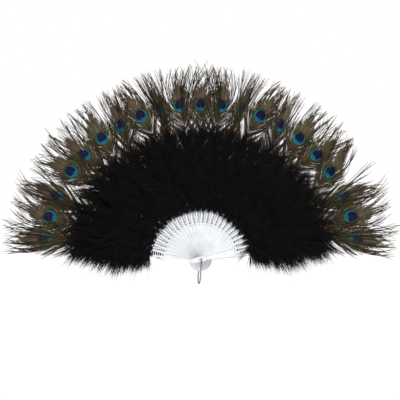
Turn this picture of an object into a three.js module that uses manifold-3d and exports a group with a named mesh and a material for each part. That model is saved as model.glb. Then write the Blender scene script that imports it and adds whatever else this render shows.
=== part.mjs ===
// A folding feather fan, shown open: pierced plastic sticks stacked in layers on one hollow rivet,
// a soft plume bound to each stick, a tape that sets how far the sticks spread, and a wire loop
// that swings from the rivet. Millimetres, +Z up. The front of the fan faces -Y, and the origin
// is on the rivet's axis in the middle of the stack.

import * as THREE from "three";
import { mergeVertices } from "three/addons/utils/BufferGeometryUtils.js";
import Module from "manifold-3d";

// Spread of the open fan
const STICK_COUNT = 25; // an odd count, so that one stick stands upright
const OPEN_RIGHT = 79; // degrees from the upright stick to the front guard
const OPEN_LEFT = 81; // degrees from the upright stick to the rear guard

// Sticks: a rounded tail and head on the rivet, a neck, a pierced leaf and a slim rib
const STICK_THICKNESS = 0.85;
const LAYER_GAP = 0.2;
const TAIL_LENGTH = 19;
const HEAD_WIDTH = 9.6;
const NECK_WIDTH = 6.6;
const NECK_AT = 9; // lengths along a stick are counted from the rivet's axis
const WAIST_WIDTH = 9.8;
const WAIST_AT = 30;
const SHOULDER_WIDTH = 15.2;
const SHOULDER_DROP = 21; // from the leaf's end to where its sides run straight
const LEAF_WIDTH = 16;
const LEAF_LENGTH = 79;
const LEAF_HOLLOW = 2.6; // depth of the curved hollows at the leaf's end
const RIB_ROOT_WIDTH = 5.2;
const RIB_TIP_WIDTH = 3;
const STICK_LENGTH = 186;

// Piercing of the leaf: a ladder of slots, with two round holes and two nicks below it
const SLOT_COUNT = 5;
const SLOT_HEIGHT = 1.8;
const RUNG_HEIGHT = 1.4;
const RAIL_WIDTH = 3;
const LADDER_MARGIN = 0.9; // from the hollow of the leaf's end to the first slot
const EYELET_RADIUS = 1.6;
const EYELET_DROP = 2.9; // from the ladder's last slot to the centres of the round holes
const NICK_WIDTH = 2.4;
const NICK_HEIGHT = 1.4;
const NICK_DROP = 4.3; // from the round holes to the nicks

// Guards: the outermost sticks, with a raised panel on their outer face
const GUARD_RAISE = 0.8;
const PANEL_INSET = 0.5;
const PANEL_START = 9;

// Rivet and washer
const BORE_RADIUS = 1.25;
const BARREL_RADIUS = 1.9;
const RIVET_HEAD_RADIUS = 3.1;
const RIVET_HEAD_HEIGHT = 1.2;
const COLLAR_RADIUS = 2.7;
const COLLAR_HEIGHT = 0.6;
const WASHER_RADIUS = 3.6;
const WASHER_HEIGHT = 0.6;
const PIVOT_CLEARANCE = 0.08; // running clearance round the barrel
const STACK_CLEARANCE = 0.15; // play between the stack and the rivet's two ends

// Wire loop
const WIRE_RADIUS = 0.9;
const LOOP_LENGTH = 38; // from the rivet's axis to the middle of the wire at the lowest point
const LEG_CLEARANCE = 0.6; // from the rivet's ends to the legs
const WIRE_END_DEPTH = 1; // how far an end reaches into the rivet's head

// Plumes: down on both faces of a stick's rib, and an eyed tail feather on most of them
const PLUME_RISE = 9; // from the leaf's end to the inner end of the down
const PLUME_OVERHANG = 19; // from the stick's end to the outer end of the down
const PLUME_DEPTH = 34;
const PLUME_EDGE_DEPTH = 9; // depth at the inner and outer ends
const PLUME_GAP = 0.3; // from a plume's side to the halfway line between two sticks
const PLUME_CLEARANCE = 0.32; // from a plume to the stick and tape that it clasps
const FREE_FLUFF = 37; // greatest width of the down outside each guard
const FREE_FLUFF_END = 29.6; // its width at the inner and outer ends
const FREE_EDGE_DEPTH = 8;
const EYE_ANGLES = [82.8, 74.4, 66.4, 56, 48.2, 39.2, 30.6, 22.7, 15, 7.7]; // degrees from the upright eye
const EYE_REACH = 57; // from the stick's end to the eye's centre
const VANE_WIDTH = 34;
const VANE_FOOT = 40; // from the eye's centre in to the foot of the vane
const VANE_TIP = 59; // from the eye's centre out to the tip of the vane
const VANE_THICKNESS = 0.6;
const QUILL_WIDTH = 3;

// Tape behind the sticks, which stops them at their full spread
const TAPE_RADIUS = 150;
const TAPE_WIDTH = 5;
const TAPE_THICKNESS = 0.3;
const TAPE_CLEARANCE = 0.3;

// Fineness of the curves
const TAIL_POINTS = 5;
const SPAN_POINTS = 3;
const HOLLOW_POINTS = 2;
const EYELET_SIDES = 8;
const PIVOT_SIDES = 10;
const LATHE_SIDES = 16;
const WIRE_SIDES = 8;
const BOW_POINTS = 7;
const BEND_POINTS = 3;
const PLUME_STATIONS = 5;
const TAPE_STEPS_PER_STICK = 2;
const CURVE_STEPS = 3;

// Sizes that follow from the ones above
const MIDDLE = (STICK_COUNT - 1) / 2;
const LAYER = STICK_THICKNESS + LAYER_GAP;
const STACK_HALF = MIDDLE * LAYER + STICK_THICKNESS / 2;
const MEAN_PITCH = THREE.MathUtils.degToRad((OPEN_LEFT + OPEN_RIGHT) / (STICK_COUNT - 1));
const SHOULDER_AT = LEAF_LENGTH - SHOULDER_DROP;
const LADDER_TOP = LEAF_LENGTH - LEAF_HOLLOW - LADDER_MARGIN;
const PLUME_START = LEAF_LENGTH + PLUME_RISE;
const PLUME_END = STICK_LENGTH + PLUME_OVERHANG;
const EYE_RADIUS = STICK_LENGTH + EYE_REACH;
const PIVOT_HOLE_RADIUS = (BARREL_RADIUS + PIVOT_CLEARANCE) / Math.cos(Math.PI / PIVOT_SIDES);

const MATERIALS = {
  stick: new THREE.MeshStandardMaterial({ color: 0xf1f2f6, roughness: 0.35, metalness: 0 }),
  plume: new THREE.MeshStandardMaterial({ color: 0x0d0d10, roughness: 0.9, metalness: 0 }),
  rivet: new THREE.MeshStandardMaterial({ color: 0xe9e9ec, roughness: 0.3, metalness: 0 }),
  wire: new THREE.MeshStandardMaterial({ color: 0x8f8050, roughness: 0.35, metalness: 1 }),
  tape: new THREE.MeshStandardMaterial({ color: 0x111114, roughness: 0.7, metalness: 0 }),
};

const wasm = await Module();
wasm.setup();

// A closed geometry as a solid that can be joined and cut.
function toSolid(geometry) {
  const bare = new THREE.BufferGeometry();
  bare.setAttribute("position", geometry.getAttribute("position"));
  bare.setIndex(geometry.index);
  const merged = mergeVertices(bare, 1e-4);
  return new wasm.Manifold(
    new wasm.Mesh({
      numProp: 3,
      vertProperties: merged.attributes.position.array,
      triVerts: new Uint32Array(merged.index.array),
    }),
  );
}

// A solid as a geometry.
function toGeometry(solid) {
  const { vertProperties, triVerts } = solid.getMesh();
  const geometry = new THREE.BufferGeometry();
  geometry.setAttribute("position", new THREE.BufferAttribute(vertProperties, 3));
  geometry.setIndex(new THREE.BufferAttribute(triVerts, 1));
  geometry.computeVertexNormals();
  return geometry;
}

// A closed skin over convex sections that run counter-clockwise, seen from the loft's far end.
function loft(sections) {
  const count = sections[0].length;
  const index = [];
  for (let k = 0; k + 1 < sections.length; k++) {
    for (let i = 0; i < count; i++) {
      const a = k * count + i;
      const b = k * count + ((i + 1) % count);
      index.push(a, b, b + count, a, b + count, a + count);
    }
  }
  const last = (sections.length - 1) * count;
  for (let i = 1; i + 1 < count; i++) {
    index.push(0, i + 1, i, last, last + i, last + i + 1);
  }
  const geometry = new THREE.BufferGeometry().setFromPoints(sections.flat());
  geometry.setIndex(index);
  geometry.computeVertexNormals();
  return geometry;
}

// A flat shape drawn in X and Z, given a thickness from y = near to y = far.
function plate(shape, near, far) {
  const options = { depth: far - near, bevelEnabled: false, curveSegments: CURVE_STEPS };
  const geometry = new THREE.ExtrudeGeometry(shape, options);
  geometry.rotateX(Math.PI / 2);
  return geometry.translate(0, far, 0);
}

function polygon(points) {
  return new THREE.Shape(points.map(([x, z]) => new THREE.Vector2(x, z)));
}

function ring(x, z, radius, sides) {
  const corners = Array.from({ length: sides }, (_, i) => {
    const turn = (2 * Math.PI * i) / sides;
    return [x + radius * Math.cos(turn), z + radius * Math.sin(turn)];
  });
  return polygon(corners);
}

function rectangle(x, z, width, height) {
  return polygon([
    [x - width / 2, z - height / 2],
    [x + width / 2, z - height / 2],
    [x + width / 2, z + height / 2],
    [x - width / 2, z + height / 2],
  ]);
}

// Half the width of a stick between the rivet and the leaf's end: an S-curve between widths.
const EDGE_STATIONS = [
  [0, HEAD_WIDTH / 2],
  [NECK_AT, NECK_WIDTH / 2],
  [WAIST_AT, WAIST_WIDTH / 2],
  [SHOULDER_AT, SHOULDER_WIDTH / 2],
  [LEAF_LENGTH, LEAF_WIDTH / 2],
];

function halfWidth(z) {
  const next = EDGE_STATIONS.findIndex(([at]) => at >= z);
  if (next <= 0) {
    return EDGE_STATIONS[0][1];
  }
  const [z0, w0] = EDGE_STATIONS[next - 1];
  const [z1, w1] = EDGE_STATIONS[next];
  const share = (z - z0) / (z1 - z0);
  return w0 + ((w1 - w0) * (1 - Math.cos(Math.PI * share))) / 2;
}

// Evenly spaced lengths along each span of the leaf's edge that lies between two lengths.
function edgeLengths(from, to) {
  const lengths = [from];
  for (let k = 0; k + 1 < EDGE_STATIONS.length; k++) {
    const [z0] = EDGE_STATIONS[k];
    const [z1] = EDGE_STATIONS[k + 1];
    for (let i = 0; i < SPAN_POINTS; i++) {
      lengths.push(z0 + ((z1 - z0) * i) / SPAN_POINTS);
    }
  }
  lengths.push(to);
  return lengths.filter((z, i) => (i === 0 ? true : z > from && z <= to));
}

function mirrored(rightEdge) {
  const leftEdge = rightEdge
    .filter(([x]) => x > 0)
    .reverse()
    .map(([x, z]) => [-x, z]);
  return polygon([...rightEdge, ...leftEdge]);
}

function stickShape() {
  const edge = [];
  for (let i = 0; i < TAIL_POINTS; i++) {
    const turn = (Math.PI / 2) * (i / TAIL_POINTS);
    edge.push([(HEAD_WIDTH / 2) * Math.sin(turn), -TAIL_LENGTH * Math.cos(turn)]);
  }
  for (const z of edgeLengths(0, LEAF_LENGTH)) {
    edge.push([halfWidth(z), z]);
  }
  for (let i = 1; i <= HOLLOW_POINTS; i++) {
    const share = i / HOLLOW_POINTS;
    edge.push([
      THREE.MathUtils.lerp(LEAF_WIDTH / 2, RIB_ROOT_WIDTH / 2, share),
      LEAF_LENGTH - LEAF_HOLLOW * Math.sin((Math.PI / 2) * share),
    ]);
  }
  edge.push([RIB_TIP_WIDTH / 2, STICK_LENGTH]);
  return mirrored(edge);
}

// The piercing. Holes beside the middle lie on the halfway lines between sticks, so that those of
// neighbouring sticks line up when the fan is open.
function piercing() {
  const holes = [];
  const pitch = SLOT_HEIGHT + RUNG_HEIGHT;
  for (let k = 0; k < SLOT_COUNT; k++) {
    const z = LADDER_TOP - SLOT_HEIGHT / 2 - k * pitch;
    const width = 2 * (halfWidth(z - SLOT_HEIGHT / 2) - RAIL_WIDTH);
    holes.push(rectangle(0, z, width, SLOT_HEIGHT));
  }
  const eyeletAt = LADDER_TOP - SLOT_COUNT * pitch - EYELET_DROP + RUNG_HEIGHT;
  const nickAt = eyeletAt - NICK_DROP;
  for (const side of [-1, 1]) {
    const slope = side * Math.tan(MEAN_PITCH / 2);
    holes.push(ring(eyeletAt * slope, eyeletAt, EYELET_RADIUS, EYELET_SIDES));
    holes.push(rectangle(nickAt * slope, nickAt, NICK_WIDTH, NICK_HEIGHT));
  }
  return holes;
}

// A solid with holes punched right through it.
function punched(solid, holes) {
  const through = STICK_THICKNESS + GUARD_RAISE;
  return holes.reduce((left, hole) => left.subtract(toSolid(plate(hole, -through, through))), solid);
}

function stickSolid() {
  const blank = plate(stickShape(), -STICK_THICKNESS / 2, STICK_THICKNESS / 2);
  return punched(toSolid(blank), [...piercing(), ring(0, 0, PIVOT_HOLE_RADIUS, PIVOT_SIDES)]);
}

// A guard is a stick with a panel raised on one face: side is -1 at the front and 1 at the rear.
function guardGeometry(side) {
  const edge = edgeLengths(PANEL_START, LEAF_LENGTH - LEAF_HOLLOW);
  const shape = mirrored(edge.map((z) => [halfWidth(z) - PANEL_INSET, z]));
  const face = side * (STICK_THICKNESS / 2 + GUARD_RAISE);
  const panel = toSolid(plate(shape, Math.min(0, face), Math.max(0, face)));
  return toGeometry(stickSolid().add(punched(panel, piercing())));
}

// The angle of a stick or an eye from upright, positive to the right, where share runs from 1 at
// the front guard to -1 at the rear guard.
function openAngle(share) {
  return THREE.MathUtils.degToRad(share * (share < 0 ? OPEN_LEFT : OPEN_RIGHT));
}

function stickAngle(index) {
  return openAngle(1 - index / MIDDLE);
}

// The eyes stand alike on both sides of an upright one, and each grows from the stick nearest to it.
function eyeAngles() {
  const byStick = new Map();
  for (const angle of [...EYE_ANGLES, 0, ...EYE_ANGLES.map((right) => -right)]) {
    const share = angle / (angle < 0 ? OPEN_LEFT : OPEN_RIGHT);
    const stick = THREE.MathUtils.clamp(Math.round(MIDDLE * (1 - share)), 0, STICK_COUNT - 1);
    byStick.set(stick, THREE.MathUtils.degToRad(angle));
  }
  return byStick;
}

// The eyed feather's vane: it opens from the quill to its full width at the eye and stays broad up
// to a rounded tip. It is turned so that its eye stands where it should.
function vaneGeometry(offset, base) {
  const eyeX = EYE_RADIUS * Math.sin(offset);
  const eyeZ = EYE_RADIUS * Math.cos(offset);
  const reach = Math.hypot(eyeX, eyeZ - base);
  const tilt = Math.atan2(eyeX, eyeZ - base);
  const quill = QUILL_WIDTH / 2;
  const wide = VANE_WIDTH / 2;
  const foot = reach - VANE_FOOT;
  const tip = reach + VANE_TIP;
  const shape = new THREE.Shape();
  shape.moveTo(-quill, 0);
  shape.lineTo(quill, 0);
  shape.lineTo(quill, foot);
  shape.quadraticCurveTo(wide, (foot + reach) / 2, wide, reach);
  shape.quadraticCurveTo(wide, tip, quill, tip);
  shape.lineTo(-quill, tip);
  shape.quadraticCurveTo(-wide, tip, -wide, reach);
  shape.quadraticCurveTo(-wide, (foot + reach) / 2, -quill, foot);
  shape.closePath();
  const geometry = plate(shape, -VANE_THICKNESS / 2, VANE_THICKNESS / 2);
  return geometry.rotateY(tilt).translate(0, 0, base);
}

// The width of a plume to one side, at length z: up to the halfway line to the next stick, or the
// loose down outside a guard.
function plumeWidth(index, neighbour, z, share) {
  if (neighbour < 0 || neighbour >= STICK_COUNT) {
    return THREE.MathUtils.lerp(FREE_FLUFF_END, FREE_FLUFF, Math.sin(Math.PI * share));
  }
  const half = Math.abs(stickAngle(index) - stickAngle(neighbour)) / 2;
  return z * Math.tan(half) - PLUME_GAP;
}

// Down that swells on both faces of the rib, thinner at the free edge outside a guard.
function downGeometry(index) {
  const sections = [];
  for (let k = 0; k < PLUME_STATIONS; k++) {
    const share = k / (PLUME_STATIONS - 1);
    const z = THREE.MathUtils.lerp(PLUME_START, PLUME_END, share);
    const swell = Math.sin(Math.PI * share);
    const depth = THREE.MathUtils.lerp(PLUME_EDGE_DEPTH, PLUME_DEPTH, swell) / 2;
    const free = Math.min(FREE_EDGE_DEPTH / 2, depth);
    const right = plumeWidth(index, index - 1, z, share);
    const left = plumeWidth(index, index + 1, z, share);
    const rightDepth = index === 0 ? free : depth;
    const leftDepth = index === STICK_COUNT - 1 ? free : depth;
    const corners = [
      [-left, -leftDepth],
      [right, -rightDepth],
      [right, rightDepth],
      [-left, leftDepth],
    ];
    if (rightDepth !== leftDepth) {
      corners.splice(3, 0, [0, depth]);
      corners.splice(1, 0, [0, -depth]);
    }
    sections.push(corners.map(([x, y]) => new THREE.Vector3(x, y, z)));
  }
  return loft(sections);
}

// A plume clasps its rib and the tape behind it in a slot, and closes round the rib's tip.
function plumeGeometry(index, eyeAngle) {
  const slotFront = STICK_THICKNESS / 2 + PLUME_CLEARANCE;
  const tapeBack = STICK_THICKNESS / 2 + TAPE_CLEARANCE + TAPE_THICKNESS + LAYER / 2;
  const slotBack = tapeBack + PLUME_CLEARANCE;
  const slotEnd = STICK_LENGTH + PLUME_CLEARANCE;
  const slot = new THREE.BoxGeometry(2 * PLUME_END, slotFront + slotBack, 2 * slotEnd);
  slot.translate(0, (slotBack - slotFront) / 2, 0);
  let solid = toSolid(downGeometry(index)).subtract(toSolid(slot));
  if (eyeAngle !== undefined) {
    const base = (slotEnd + PLUME_END) / 2;
    solid = solid.add(toSolid(vaneGeometry(eyeAngle - stickAngle(index), base)));
  }
  return toGeometry(solid);
}

function lathe(profile) {
  const points = [...profile, profile[0]].map(([r, y]) => new THREE.Vector2(r, y));
  return new THREE.LatheGeometry(points, LATHE_SIDES);
}

const HEAD_SEAT = -(STACK_HALF + STACK_CLEARANCE);
const HEAD_FACE = HEAD_SEAT - RIVET_HEAD_HEIGHT;
const WASHER_SEAT = STACK_HALF + STACK_CLEARANCE;
const WASHER_BACK = WASHER_SEAT + WASHER_HEIGHT;
const COLLAR_SEAT = WASHER_BACK + STACK_CLEARANCE;
const COLLAR_BACK = COLLAR_SEAT + COLLAR_HEIGHT;

// A tubular rivet: a domed head at the front, a barrel and a rolled collar behind the washer.
function rivetGeometry() {
  return lathe([
    [BORE_RADIUS, HEAD_FACE],
    [(BORE_RADIUS + RIVET_HEAD_RADIUS) / 2, HEAD_FACE],
    [RIVET_HEAD_RADIUS, (HEAD_FACE + HEAD_SEAT) / 2],
    [RIVET_HEAD_RADIUS, HEAD_SEAT],
    [BARREL_RADIUS, HEAD_SEAT],
    [BARREL_RADIUS, COLLAR_SEAT],
    [COLLAR_RADIUS, COLLAR_SEAT],
    [COLLAR_RADIUS, COLLAR_BACK],
    [BORE_RADIUS, COLLAR_BACK],
  ]);
}

function washerGeometry() {
  const inner = (BARREL_RADIUS + PIVOT_CLEARANCE) / Math.cos(Math.PI / LATHE_SIDES);
  return lathe([
    [inner, WASHER_SEAT],
    [WASHER_RADIUS, WASHER_SEAT],
    [WASHER_RADIUS, WASHER_BACK],
    [inner, WASHER_BACK],
  ]);
}

// Half of the loop's route, from beside its lowest point up one leg and into the rivet. side is -1
// at the front and 1 at the rear, and face is the distance out to the rivet's end on that side.
function legRoute(side, face) {
  const bendRadius = LEG_CLEARANCE + WIRE_RADIUS;
  const leg = face + bendRadius;
  const top = -(TAIL_LENGTH + WIRE_RADIUS);
  const route = [];
  for (let i = 1; i <= BOW_POINTS; i++) {
    const turn = (Math.PI / 2) * (i / BOW_POINTS);
    route.push([leg * Math.sin(turn), top - (LOOP_LENGTH + top) * Math.cos(turn)]);
  }
  for (let i = 0; i <= BEND_POINTS; i++) {
    const turn = (Math.PI / 2) * (i / BEND_POINTS);
    route.push([face + bendRadius * Math.cos(turn), -bendRadius * (1 - Math.sin(turn))]);
  }
  route.push([face - WIRE_END_DEPTH, 0]);
  return route.map(([y, z]) => new THREE.Vector3(0, side * y, z));
}

// Round wire along the route, which lies in the plane x = 0.
function loopGeometry() {
  const front = legRoute(-1, -HEAD_FACE).reverse();
  const rear = legRoute(1, COLLAR_BACK);
  const route = [...front, new THREE.Vector3(0, 0, -LOOP_LENGTH), ...rear];
  const across = new THREE.Vector3(1, 0, 0);
  const sections = route.map((point, i) => {
    const before = route[Math.max(i - 1, 0)];
    const after = route[Math.min(i + 1, route.length - 1)];
    const normal = after.clone().sub(before).normalize().cross(across);
    return Array.from({ length: WIRE_SIDES }, (_, k) => {
      const turn = (2 * Math.PI * k) / WIRE_SIDES;
      const corner = point.clone().addScaledVector(across, WIRE_RADIUS * Math.cos(turn));
      return corner.addScaledVector(normal, WIRE_RADIUS * Math.sin(turn));
    });
  });
  return loft(sections);
}

// The tape winds behind the sticks, stepping back one layer for each stick that it passes.
function tapeGeometry() {
  const steps = (STICK_COUNT - 1) * TAPE_STEPS_PER_STICK;
  const inner = TAPE_RADIUS - TAPE_WIDTH / 2;
  const outer = TAPE_RADIUS + TAPE_WIDTH / 2;
  const sections = [];
  for (let k = 0; k <= steps; k++) {
    const index = (STICK_COUNT - 1) * (1 - k / steps);
    const angle = stickAngle(index);
    const front = (index - MIDDLE) * LAYER + STICK_THICKNESS / 2 + TAPE_CLEARANCE;
    const back = front + TAPE_THICKNESS;
    const corners = [
      [inner, front],
      [inner, back],
      [outer, back],
      [outer, front],
    ];
    sections.push(
      corners.map(([r, y]) => new THREE.Vector3(r * Math.sin(angle), y, r * Math.cos(angle))),
    );
  }
  return loft(sections);
}

function named(name, geometry, material) {
  const mesh = new THREE.Mesh(geometry, material);
  mesh.name = name;
  return mesh;
}

// One stick with its plume, turned to its place in the spread and set in its own layer.
function bladeGroup(index, innerStick, eyes) {
  const number = String(index + 1).padStart(2, "0");
  const blade = new THREE.Group();
  blade.position.y = (index - MIDDLE) * LAYER;
  blade.rotation.y = stickAngle(index);
  if (index === 0) {
    blade.add(named("front_guard", guardGeometry(-1), MATERIALS.stick));
  } else if (index === STICK_COUNT - 1) {
    blade.add(named("rear_guard", guardGeometry(1), MATERIALS.stick));
  } else {
    blade.add(named(`stick_${number}`, innerStick, MATERIALS.stick));
  }
  blade.add(named(`plume_${number}`, plumeGeometry(index, eyes.get(index)), MATERIALS.plume));
  return blade;
}

const fan = new THREE.Group();
const innerStick = toGeometry(stickSolid());
const eyes = eyeAngles();
for (let index = 0; index < STICK_COUNT; index++) {
  fan.add(bladeGroup(index, innerStick, eyes));
}
fan.add(named("rivet", rivetGeometry(), MATERIALS.rivet));
fan.add(named("rivet_washer", washerGeometry(), MATERIALS.rivet));
fan.add(named("wire_loop", loopGeometry(), MATERIALS.wire));
fan.add(named("spacing_tape", tapeGeometry(), MATERIALS.tape));

export default fan;
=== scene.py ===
"""The look of a folding feather fan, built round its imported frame.

White pierced sticks turn on one rivet and carry black marabou down and peacock eye feathers. Sizes in
the classes are millimetres and degrees, and meshes are handed to Blender in metres. The front of the
fan faces -Y, +Z is up, and the origin is on the rivet's axis in the middle of the stack.
"""

from __future__ import annotations

import logging
import math
from dataclasses import dataclass, replace
from enum import Enum
from typing import Any

import bpy
import numpy as np
from bpy.types import Material, Node, NodeSocket, NodeTree, Object
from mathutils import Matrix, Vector

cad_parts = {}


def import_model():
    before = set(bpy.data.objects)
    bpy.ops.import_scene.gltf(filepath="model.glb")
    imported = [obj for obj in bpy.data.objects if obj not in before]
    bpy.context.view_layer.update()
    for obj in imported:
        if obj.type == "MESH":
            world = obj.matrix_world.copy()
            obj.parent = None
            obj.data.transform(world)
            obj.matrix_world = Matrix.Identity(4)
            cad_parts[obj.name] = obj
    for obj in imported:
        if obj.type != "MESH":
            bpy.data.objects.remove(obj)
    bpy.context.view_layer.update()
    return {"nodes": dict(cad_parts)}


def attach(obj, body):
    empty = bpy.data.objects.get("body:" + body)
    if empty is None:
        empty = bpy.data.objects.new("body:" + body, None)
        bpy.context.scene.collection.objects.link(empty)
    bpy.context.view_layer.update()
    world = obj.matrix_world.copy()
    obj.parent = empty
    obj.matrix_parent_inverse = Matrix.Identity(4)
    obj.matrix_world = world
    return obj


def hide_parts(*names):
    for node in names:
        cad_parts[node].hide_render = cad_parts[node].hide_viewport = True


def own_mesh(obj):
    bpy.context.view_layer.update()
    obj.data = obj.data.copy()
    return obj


LOG = logging.getLogger("feather_fan")
METRES = 0.001
WELD_GAP = 1e-6
SHORTEST = 1e-12
UV_NAME = "OFBake"
SHADE_NAME = "shade"
# Where a colour mix takes its share and its two colours, and gives the result.
MIX_SHARE, MIX_UNDER, MIX_OVER, MIX_RESULT = 0, 6, 7, 2
WHITE = "#ffffff"
QUARTER = np.pi / 2.0
FORWARDS = (0.0, -1.0, 0.0)
TRIANGLE = np.array([(-1.0, -0.5), (1.0, -0.5), (0.0, 1.0)])
SQUARE = np.array([(-1.0, -1.0), (1.0, -1.0), (1.0, 1.0), (-1.0, 1.0)])
# A range or run of values, a point, the two rows of a table to interpolate in, and a colour ramp's stop.
Pair = tuple[float, float]
Triple = tuple[float, float, float]
Steps = tuple[tuple[float, ...], tuple[float, ...]]
Stop = tuple[float, str] | tuple[float, str, float]


class Side(Enum):
    """A side of a feather, seen from the front."""

    LEFT = -1
    RIGHT = 1


def linear(colour: str, alpha: float = 1.0) -> tuple[float, float, float, float]:
    """Turns an sRGB hex colour to linear values by the standard curve.

    Args:
        colour: The colour as #rrggbb.
        alpha: The fourth value.

    Returns:
        Linear red, green and blue, and alpha.
    """
    shown = np.array([int(colour[i : i + 2], 16) for i in (1, 3, 5)]) / 255.0
    values = np.where(shown <= 0.04045, shown / 12.92, ((shown + 0.055) / 1.055) ** 2.4)
    return (*values.tolist(), alpha)


def pattern_scale(size: float) -> float:
    """The scale that gives a texture on Object coordinates features of a size in millimetres."""
    return 1.0 / (size * METRES)


def add_node(
    tree: NodeTree,
    kind: str,
    settings: dict[str | int, Any] | None = None,
    stops: tuple[Stop, ...] = (),
) -> Node:
    """Adds a node with its settings and links.

    Args:
        tree: The tree that gets the node.
        kind: The node's type, without the prefix that all of them have.
        settings: Values by property name, or by input name or number. A socket is linked to the input.
        stops: Places and sRGB colours of a colour ramp, with an alpha where it isn't 1.

    Returns:
        The new node.
    """
    node = tree.nodes.new(f"ShaderNode{kind}")
    for name, value in (settings or {}).items():
        if isinstance(value, NodeSocket):
            tree.links.new(value, node.inputs[name])
        elif isinstance(name, str) and hasattr(node, name):
            setattr(node, name, value)
        else:
            node.inputs[name].default_value = value
    for number, (place, *colour) in enumerate(stops):
        elements = node.color_ramp.elements
        element = elements[number] if number < len(elements) else elements.new(place)
        element.position = place
        element.color = linear(*colour)
    return node


def clouds(
    tree: NodeTree, size: float, detail: float, stops: tuple[Stop, ...]
) -> tuple[NodeSocket, NodeSocket]:
    """Soft clouds on Object coordinates, coloured by how dense they are.

    Args:
        tree: The tree that gets the nodes.
        size: The clouds' size in millimetres.
        detail: How many times finer clouds are laid over them.
        stops: The colour of each density.

    Returns:
        The density and the colour.
    """
    place = add_node(tree, "TexCoord").outputs["Object"]
    cloud = add_node(tree, "TexNoise", {"Vector": place, "Scale": pattern_scale(size), "Detail": detail})
    colour = add_node(tree, "ValToRGB", {"Fac": cloud.outputs["Fac"]}, stops)
    return cloud.outputs["Fac"], colour.outputs["Color"]


def seen(tree: NodeTree) -> NodeSocket:
    """A value of 1 for rays from the camera, and for those that metal and glass send on.

    Args:
        tree: The tree that gets the nodes.

    Returns:
        The value.
    """
    path = add_node(tree, "LightPath")
    value = path.outputs["Is Camera Ray"]
    for ray in ("Is Glossy Ray", "Is Transmission Ray"):
        value = add_node(tree, "Math", {"operation": "MAXIMUM", 0: value, 1: path.outputs[ray]}).outputs[0]
    return value


@dataclass(frozen=True)
class Finish:
    """What a surface is made of. Each finish adds its own nodes."""

    name: str

    def surface(self, tree: NodeTree) -> Node:
        """Adds the finish's nodes to a tree and gives back its shader."""
        raise NotImplementedError(self.name)

    def material(self) -> Material:
        """Builds the material.

        Returns:
            The new material.
        """
        made = bpy.data.materials.new(self.name)
        made.use_nodes = True
        tree = made.node_tree
        tree.nodes.clear()
        add_node(tree, "OutputMaterial", {"Surface": self.surface(tree).outputs[0]})
        return made


@dataclass(frozen=True)
class MouldedPlastic(Finish):
    """White polystyrene out of a mould: bright, slightly bluish, with a soft gloss and a faint ripple."""

    name: str = "moulded_white_polystyrene"
    pale: str = "#f6f7fa"
    dull: str = "#e6e9f0"
    roughness: float = 0.36
    glow_depth: float = 1.0
    cloud_size: float = 14.0
    ripple_size: float = 1.6
    ripple_height: float = 0.04

    def surface(self, tree: NodeTree) -> Node:
        """Cooled flow lines cloud the white, and the mould's skin ripples it.

        Args:
            tree: The material's tree.

        Returns:
            The shader.
        """
        _, colour = clouds(tree, self.cloud_size, detail=3.0, stops=((0.3, self.dull), (0.62, self.pale)))
        place = add_node(tree, "TexCoord").outputs["Object"]
        ripple = add_node(tree, "TexNoise", {
            "Vector": place, "Scale": pattern_scale(self.ripple_size), "Detail": 2.0,
        })
        bump = add_node(tree, "Bump", {
            "Height": ripple.outputs["Fac"], "Strength": 0.35, "Distance": self.ripple_height * METRES,
        })
        return add_node(tree, "BsdfPrincipled", {
            "Base Color": colour, "Normal": bump.outputs["Normal"],
            "Roughness": self.roughness, "IOR": 1.59,
            "Subsurface Weight": 0.06, "Subsurface Scale": self.glow_depth * METRES,
        })


@dataclass(frozen=True)
class DyedDown(Finish):
    """Marabou dyed black: matt and deep, a little browner at the fine tips, with a faint sheen."""

    name: str = "dyed_marabou_down"
    root: str = "#040405"
    body: str = "#08080a"
    tip: str = "#12110f"
    deep: str = "#040406"
    faded: str = "#211f1c"
    stray: str = "#5c5c62"
    roughness: float = 0.62

    def surface(self, tree: NodeTree) -> Node:
        """Each barb runs from root to tip along V, and U picks its tint.

        Args:
            tree: The material's tree.

        Returns:
            The shader.
        """
        place = add_node(tree, "UVMap", {"uv_map": UV_NAME}).outputs["UV"]
        parts = add_node(tree, "SeparateXYZ", {"Vector": place})
        run = ((0.0, self.root), (0.45, self.body), (1.0, self.tip))
        length = add_node(tree, "ValToRGB", {"Fac": parts.outputs["Y"]}, run)
        tints = (
            (0.0, self.deep, 0.6), (0.5, self.body, 0.0), (0.9, self.faded, 0.85),
            (0.93, self.stray, 0.0), (0.96, self.stray, 1.0),
        )
        tint = add_node(tree, "ValToRGB", {"Fac": parts.outputs["X"]}, tints)
        colour = add_node(tree, "Mix", {
            "data_type": "RGBA", MIX_SHARE: tint.outputs["Alpha"],
            MIX_UNDER: length.outputs["Color"], MIX_OVER: tint.outputs["Color"],
        })
        return add_node(tree, "BsdfPrincipled", {
            "Base Color": colour.outputs[MIX_RESULT], "Roughness": self.roughness,
            "Specular IOR Level": 0.1, "IOR": 1.55,
        })


@dataclass(frozen=True)
class Spot:
    """An oval of the eye's pattern, in mm from the eye's centre, with colours from its own middle out."""

    along: float
    half_width: float
    half_length: float
    stops: tuple[Stop, ...]
    across: float = 0.0
    turn: float = 0.0


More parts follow.
